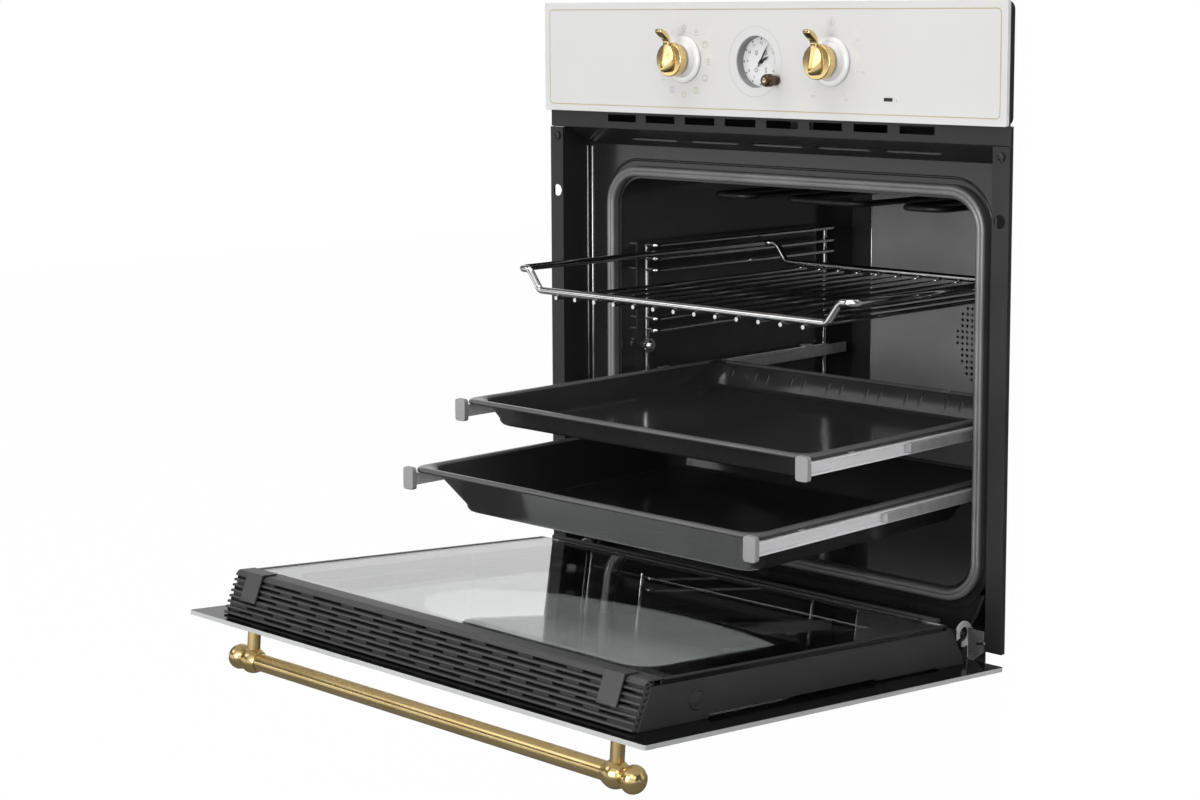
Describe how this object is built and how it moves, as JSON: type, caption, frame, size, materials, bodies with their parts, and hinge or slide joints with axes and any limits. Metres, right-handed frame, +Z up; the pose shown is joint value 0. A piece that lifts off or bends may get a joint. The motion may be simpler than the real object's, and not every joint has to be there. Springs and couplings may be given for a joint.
{
  "type": "built-in oven",
  "caption": "Built-in electric oven with a drop-down glass door, twin knobs, analogue clock, telescopic tray runners and wire shelf.",
  "frame": {"origin": "middle of the front edge of the underside, in the plane of the back of the front flange", "axes": "+X to the user's right across the front, +Y into the cabinet, +Z up"},
  "size_m": [0.595, 1.0383, 0.6219],
  "materials": {
    "panel_dark": "dark grey satin enamel",
    "galvanised": "galvanised sheet",
    "enamel": "dark grey enamel",
    "wool": "glass wool",
    "gasket": "grey silicone and steel",
    "fan_plate": "dull steel",
    "heater": "oxidised steel",
    "ceramic": "ceramic and moulded resin",
    "lamp_glass": "clear glass",
    "chrome": "bright chrome wire",
    "white_glass": "glass with white back print",
    "housing": "charcoal plastic",
    "bezel": "white gloss plastic",
    "gold": "polished gold plate",
    "clock_case": "grey plastic",
    "black": "black",
    "bronze": "bronze plastic",
    "clear_glass": "clear glass",
    "zinc": "zinc plated steel",
    "rail": "bright satin steel"
  },
  "bodies": {
    "chassis": {"side_panel_left": "panel_dark", "side_panel_right": "panel_dark", "rear_panel": "galvanised", "top_cover": "galvanised", "base_plate": "galvanised", "front_frame": "enamel", "insulation": "wool", "panel_screws": "panel_dark", "terminal_block": "ceramic", "cavity": "enamel", "door_gasket": "gasket", "fan_cover": "fan_plate", "fan_motor": "galvanised", "ring_heater": "heater", "grill_heater": "heater", "bottom_heater": "heater", "lamp_holder": "ceramic", "lamp_glass": "lamp_glass", "side_racks": "chrome", "fascia_glass": "white_glass", "fascia_housing": "housing", "vent_strip": "panel_dark", "knob_bezels": "bezel", "selector_switch": "ceramic", "thermostat": "ceramic", "clock_case": "clock_case", "clock_dial": "bezel", "indicator_lens": "black", "blower_housing": "galvanised", "hinge_arms": "zinc", "runner_fixed_rails": "zinc"},
    "door": {"door_outer_glass": "white_glass", "door_middle_glass": "clear_glass", "door_inner_glass": "clear_glass", "door_side_frames": "housing", "door_vent_profile": "housing", "door_clips": "housing", "door_bottom_profile": "housing", "door_plugs": "housing", "hinge_bodies": "zinc", "handle_bar": "gold", "handle_brackets": "gold"},
    "left_catch": {"hinge_catch_left": "chrome"},
    "right_catch": {"hinge_catch_right": "chrome"},
    "left_knob": {"function_knob": "gold"},
    "right_knob": {"temperature_knob": "gold"},
    "set_knob": {"clock_set_knob": "bronze"},
    "minute_pointer": {"minute_hand": "black"},
    "hour_pointer": {"hour_hand": "black"},
    "oven_fan": {"convection_fan": "galvanised"},
    "cooling_fan": {"blower_wheel": "galvanised"},
    "upper_slides": {"upper_middle_rails": "zinc"},
    "upper_carriage": {"upper_moving_rails": "rail", "rail_caps_upper": "rail", "upper_tray": "enamel"},
    "lower_slides": {"lower_middle_rails": "zinc"},
    "lower_carriage": {"lower_moving_rails": "rail", "rail_caps_lower": "rail", "lower_tray": "enamel"},
    "shelf": {"wire_shelf": "chrome"}
  },
  "joints": [
    {"name": "door_swing", "type": "hinge", "parent": "chassis", "child": "door", "pos_m": [0, 0.0044, 0], "axis": [-1, 0, 0], "range_deg": [0, 56]},
    {"name": "upper_carriage_slide", "type": "slide", "parent": "chassis", "child": "upper_carriage", "axis": [0, 1, 0], "range_m": [0, 0.233]},
    {"name": "upper_middle_slide", "type": "slide", "parent": "chassis", "child": "upper_slides", "axis": [0, 1, 0], "range_m": [0, 0.117]},
    {"name": "lower_carriage_slide", "type": "slide", "parent": "chassis", "child": "lower_carriage", "axis": [0, 1, 0], "range_m": [0, 0.305]},
    {"name": "lower_middle_slide", "type": "slide", "parent": "chassis", "child": "lower_slides", "axis": [0, 1, 0], "range_m": [0, 0.153]},
    {"name": "shelf_slide", "type": "slide", "parent": "chassis", "child": "shelf", "axis": [0, 1, 0], "range_m": [0, 0.16]},
    {"name": "function_turn", "type": "hinge", "parent": "chassis", "child": "left_knob", "pos_m": [-0.0955, -0.03, 0.5382], "axis": [0, -1, 0], "range_deg": [-160, 160]},
    {"name": "temperature_turn", "type": "hinge", "parent": "chassis", "child": "right_knob", "pos_m": [0.0955, -0.03, 0.5382], "axis": [0, -1, 0], "range_deg": [-270, 0]},
    {"name": "clock_set_turn", "type": "hinge", "parent": "chassis", "child": "set_knob", "pos_m": [0.0276, -0.02, 0.5196], "axis": [0, -1, 0], "continuous": true},
    {"name": "minute_turn", "type": "hinge", "parent": "chassis", "child": "minute_pointer", "pos_m": [0, -0.005, 0.537], "axis": [0, 1, 0], "continuous": true},
    {"name": "hour_turn", "type": "hinge", "parent": "chassis", "child": "hour_pointer", "pos_m": [0, -0.004, 0.537], "axis": [0, 1, 0], "continuous": true},
    {"name": "oven_fan_spin", "type": "hinge", "parent": "chassis", "child": "oven_fan", "pos_m": [0, 0.43, 0.217], "axis": [0, 1, 0], "continuous": true},
    {"name": "cooling_fan_spin", "type": "hinge", "parent": "chassis", "child": "cooling_fan", "pos_m": [0, 0.19, 0.518], "axis": [1, 0, 0], "continuous": true},
    {"name": "left_catch_flip", "type": "hinge", "parent": "chassis", "child": "left_catch", "pos_m": [-0.2515, 0.015, 0.007], "axis": [-1, 0, 0], "range_deg": [0, 60]},
    {"name": "right_catch_flip", "type": "hinge", "parent": "chassis", "child": "right_catch", "pos_m": [0.2515, 0.015, 0.007], "axis": [-1, 0, 0], "range_deg": [0, 60]}
  ],
  "couplings": [
    {"joint": "upper_carriage_slide", "follows": "door_swing", "m_per_rad": 0.2374},
    {"joint": "upper_middle_slide", "follows": "door_swing", "m_per_rad": 0.1187},
    {"joint": "lower_carriage_slide", "follows": "door_swing", "m_per_rad": 0.311},
    {"joint": "lower_middle_slide", "follows": "door_swing", "m_per_rad": 0.1555},
    {"joint": "hour_turn", "follows": "minute_turn", "ratio": 0.083333}
  ]
}
